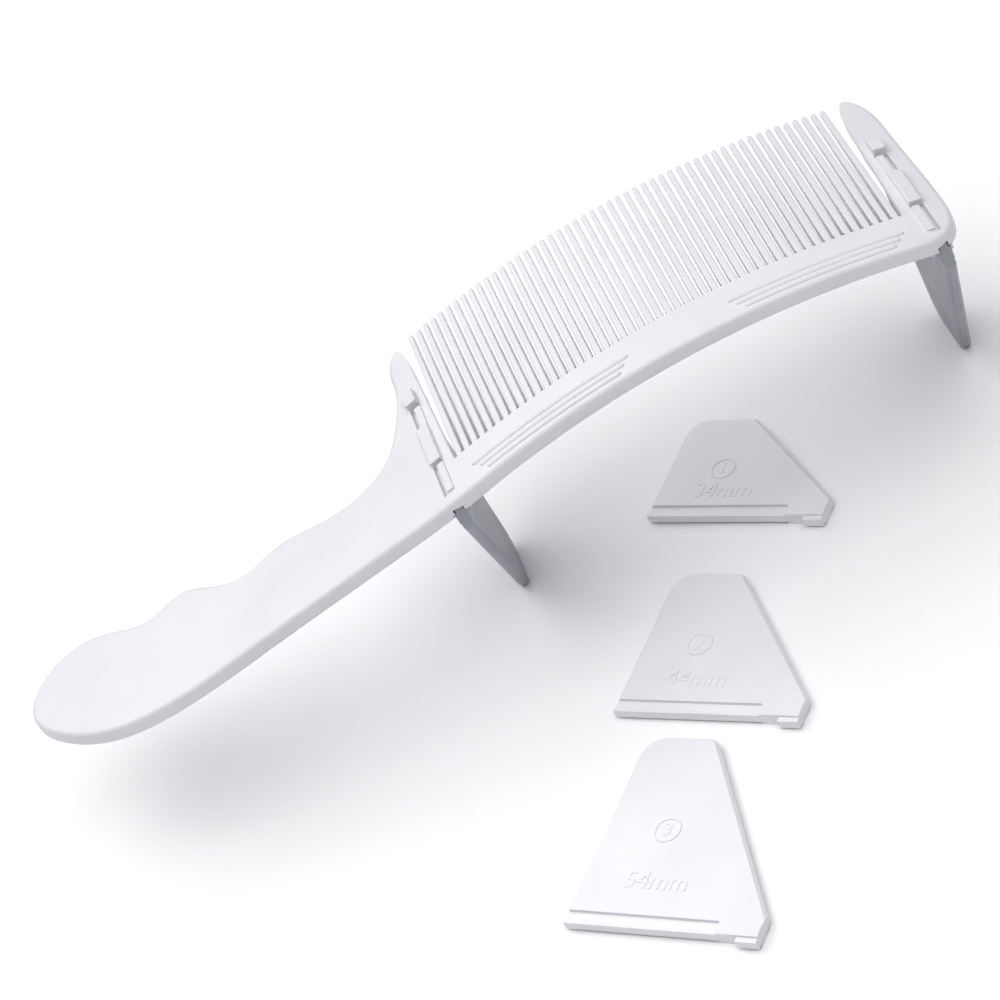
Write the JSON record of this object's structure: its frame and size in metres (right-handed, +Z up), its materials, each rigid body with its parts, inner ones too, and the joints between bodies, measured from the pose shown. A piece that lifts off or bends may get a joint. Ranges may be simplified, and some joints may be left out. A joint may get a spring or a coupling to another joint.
{
  "type": "clipper guard comb",
  "caption": "Arched white plastic clipper comb with a grooved grip, slide-in head spacers in its end walls and loose spacers of other heights.",
  "frame": {"origin": "midway between the two fitted spacers, level with their narrow ends, in the plane of the tooth roots", "axes": "+X along the comb, away from its handle; +Y from the spine towards the tooth tips; +Z up, out of the convex side"},
  "size_m": [0.255, 0.1868, 0.0668],
  "materials": {
    "comb_plastic": "satin moulded plastic, white with a faint lavender cast",
    "spacer_plastic": "satin moulded plastic, white",
    "fitted_spacer_plastic": "satin moulded plastic, pale grey"
  },
  "bodies": {
    "comb": {"comb_body": "comb_plastic"},
    "left_spacer": {"spacer_left": "fitted_spacer_plastic"},
    "right_spacer": {"spacer_right": "fitted_spacer_plastic"},
    "spare_1": {"spare_spacer_1": "spacer_plastic"},
    "spare_2": {"spare_spacer_2": "spacer_plastic"},
    "spare_3": {"spare_spacer_3": "spacer_plastic"}
  },
  "joints": [
    {"name": "left_spacer_slide", "type": "slide", "parent": "comb", "child": "left_spacer", "axis": [0, -1, 0], "range_m": [0, 0.054]},
    {"name": "right_spacer_slide", "type": "slide", "parent": "comb", "child": "right_spacer", "axis": [0, -1, 0], "range_m": [0, 0.054]},
    {"name": "spare_1_draw_out", "type": "slide", "parent": "comb", "child": "spare_1", "axis": [0, 1, 0], "range_m": [0, 0.08]},
    {"name": "spare_2_lift", "type": "slide", "parent": "comb", "child": "spare_2", "axis": [0, 0, 1], "range_m": [0, 0.08]},
    {"name": "spare_3_lift", "type": "slide", "parent": "comb", "child": "spare_3", "axis": [0, 0, 1], "range_m": [0, 0.08]}
  ]
}
